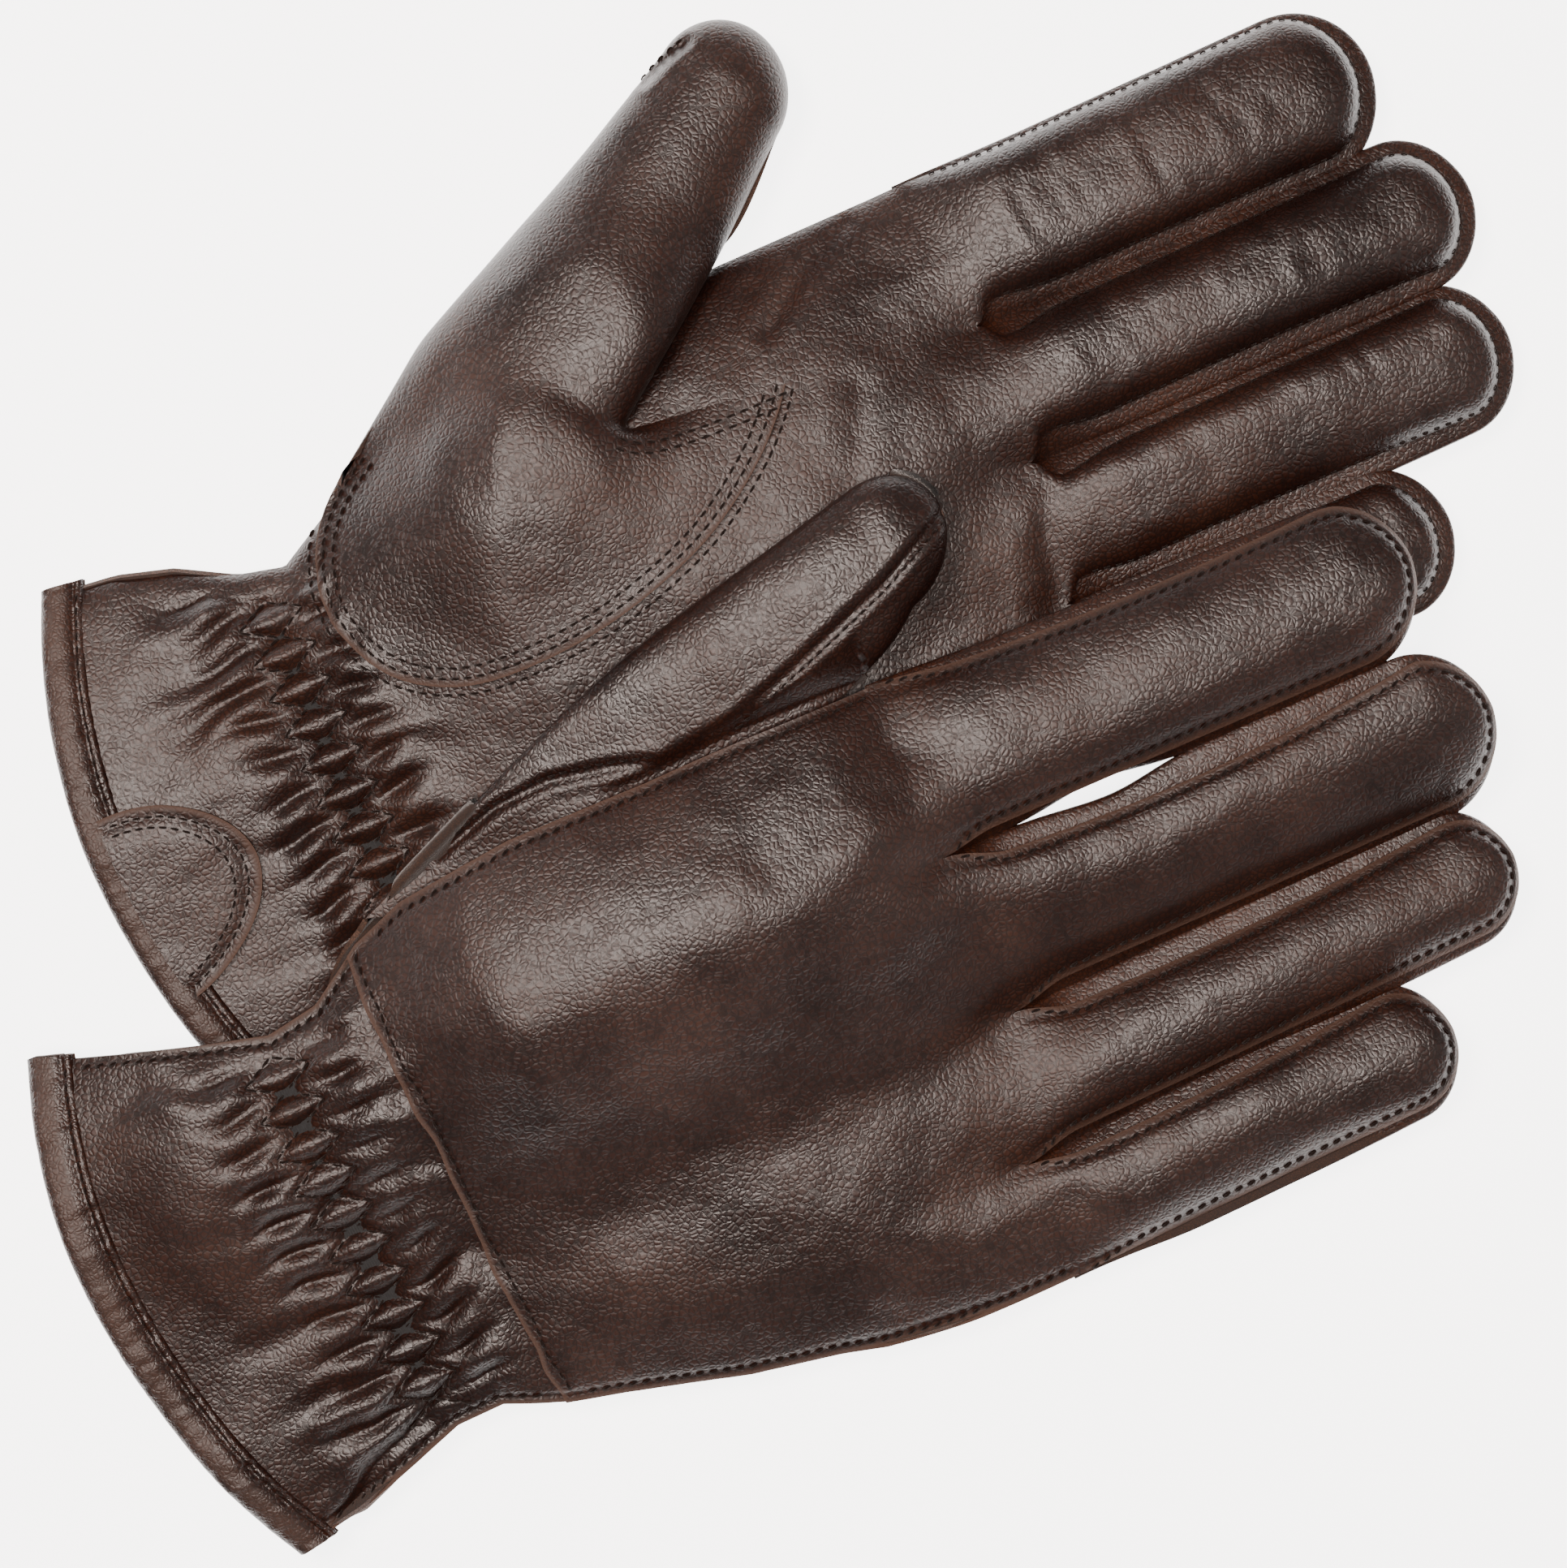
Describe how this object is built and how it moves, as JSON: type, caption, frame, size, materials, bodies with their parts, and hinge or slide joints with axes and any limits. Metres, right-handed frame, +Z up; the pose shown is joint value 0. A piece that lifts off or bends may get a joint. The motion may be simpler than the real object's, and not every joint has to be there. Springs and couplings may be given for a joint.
{
  "type": "leather gloves",
  "caption": "Pair of lined brown leather gloves lying flat, the left palm up and the right palm down over its little-finger side, with elastic wrists and bound hems.",
  "frame": {"origin": "centre of the pair's footprint on the table, at table height", "axes": "+X along the fingers from the cuffs to the fingertips, +Y across the gloves from the right glove's little finger to the left glove's thumb, +Z up from the table"},
  "size_m": [0.292, 0.2226, 0.0348],
  "materials": {
    "leather": "semi-gloss smooth grain",
    "strip_leather": "semi-gloss smooth grain",
    "binding_leather": "semi-gloss folded edge",
    "lining": "matt knit",
    "elastic": "matt woven elastic"
  },
  "bodies": {
    "left_hand": {"left_back_panel": "leather", "left_cuff_back": "leather", "left_half_moon_patch": "leather", "left_hand_lining": "lining", "left_hem_binding": "binding_leather", "left_little_back": "leather", "left_little_lining": "lining", "left_little_palm": "leather", "left_little_thumb_side_strip": "strip_leather", "left_palm_panel": "leather", "left_thumb_base": "leather", "left_wrist_elastic": "elastic"},
    "right_hand": {"right_back_panel": "leather", "right_cuff_back": "leather", "right_half_moon_patch": "leather", "right_hand_lining": "lining", "right_hem_binding": "binding_leather", "right_palm_panel": "leather", "right_thumb_base": "leather", "right_wrist_elastic": "elastic"},
    "left_thumb": {"left_thumb_lining": "lining", "left_thumb_tip": "leather"},
    "left_index": {"left_index_back": "leather", "left_index_lining": "lining", "left_index_little_side_strip": "strip_leather", "left_index_outer_strip": "strip_leather", "left_index_palm": "leather"},
    "left_middle": {"left_middle_back": "leather", "left_middle_lining": "lining", "left_middle_little_side_strip": "strip_leather", "left_middle_palm": "leather", "left_middle_thumb_side_strip": "strip_leather"},
    "left_ring": {"left_ring_back": "leather", "left_ring_lining": "lining", "left_ring_little_side_strip": "strip_leather", "left_ring_palm": "leather", "left_ring_thumb_side_strip": "strip_leather"},
    "right_thumb": {"right_thumb_lining": "lining", "right_thumb_tip": "leather"},
    "right_index": {"right_index_back": "leather", "right_index_lining": "lining", "right_index_little_side_strip": "strip_leather", "right_index_outer_strip": "strip_leather", "right_index_palm": "leather"},
    "right_middle": {"right_middle_back": "leather", "right_middle_lining": "lining", "right_middle_little_side_strip": "strip_leather", "right_middle_palm": "leather", "right_middle_thumb_side_strip": "strip_leather"},
    "right_ring": {"right_ring_back": "leather", "right_ring_lining": "lining", "right_ring_little_side_strip": "strip_leather", "right_ring_palm": "leather", "right_ring_thumb_side_strip": "strip_leather"},
    "right_little": {"right_little_back": "leather", "right_little_lining": "lining", "right_little_palm": "leather", "right_little_thumb_side_strip": "strip_leather"}
  },
  "joints": [
    {"name": "left_thumb_bend", "type": "hinge", "parent": "left_hand", "child": "left_thumb", "pos_m": [0.01771, 0.08729, 0.0191], "axis": [0.5753, -0.8179, 0], "range_deg": [0, 45]},
    {"name": "left_index_bend", "type": "hinge", "parent": "left_hand", "child": "left_index", "pos_m": [0.05571, 0.05859, 0.0141], "axis": [0.0048, -1, 0], "range_deg": [0, 60]},
    {"name": "left_middle_bend", "type": "hinge", "parent": "left_hand", "child": "left_middle", "pos_m": [0.05771, 0.03179, 0.01543], "axis": [0.0022, -1, 0], "range_deg": [0, 60]},
    {"name": "left_ring_bend", "type": "hinge", "parent": "left_hand", "child": "left_ring", "pos_m": [0.05371, 0.00659, 0.0129], "axis": [0, -1, 0], "range_deg": [0, 60]},
    {"name": "right_glove_lift", "type": "slide", "parent": "left_hand", "child": "right_hand", "axis": [0, 0, 1], "range_m": [0, 0.12]},
    {"name": "right_thumb_bend", "type": "hinge", "parent": "right_hand", "child": "right_thumb", "pos_m": [0.01671, 0.01149, 0.02952], "axis": [0.2644, -0.9644, 0], "range_deg": [0, 40]},
    {"name": "right_index_bend", "type": "hinge", "parent": "right_hand", "child": "right_index", "pos_m": [0.01571, -0.01961, 0.02905], "axis": [-0.0214, -0.9998, 0], "range_deg": [0, 35]},
    {"name": "right_middle_bend", "type": "hinge", "parent": "right_hand", "child": "right_middle", "pos_m": [0.01571, -0.0502, 0.02431], "axis": [-0.0042, -1, 0], "range_deg": [0, 35]},
    {"name": "right_ring_bend", "type": "hinge", "parent": "right_hand", "child": "right_ring", "pos_m": [0.00771, -0.07782, 0.01566], "axis": [0.0254, -0.9997, 0], "range_deg": [0, 35]},
    {"name": "right_little_bend", "type": "hinge", "parent": "right_hand", "child": "right_little", "pos_m": [0.00771, -0.10131, 0.01351], "axis": [0.04, -0.9992, 0], "range_deg": [0, 35]}
  ]
}
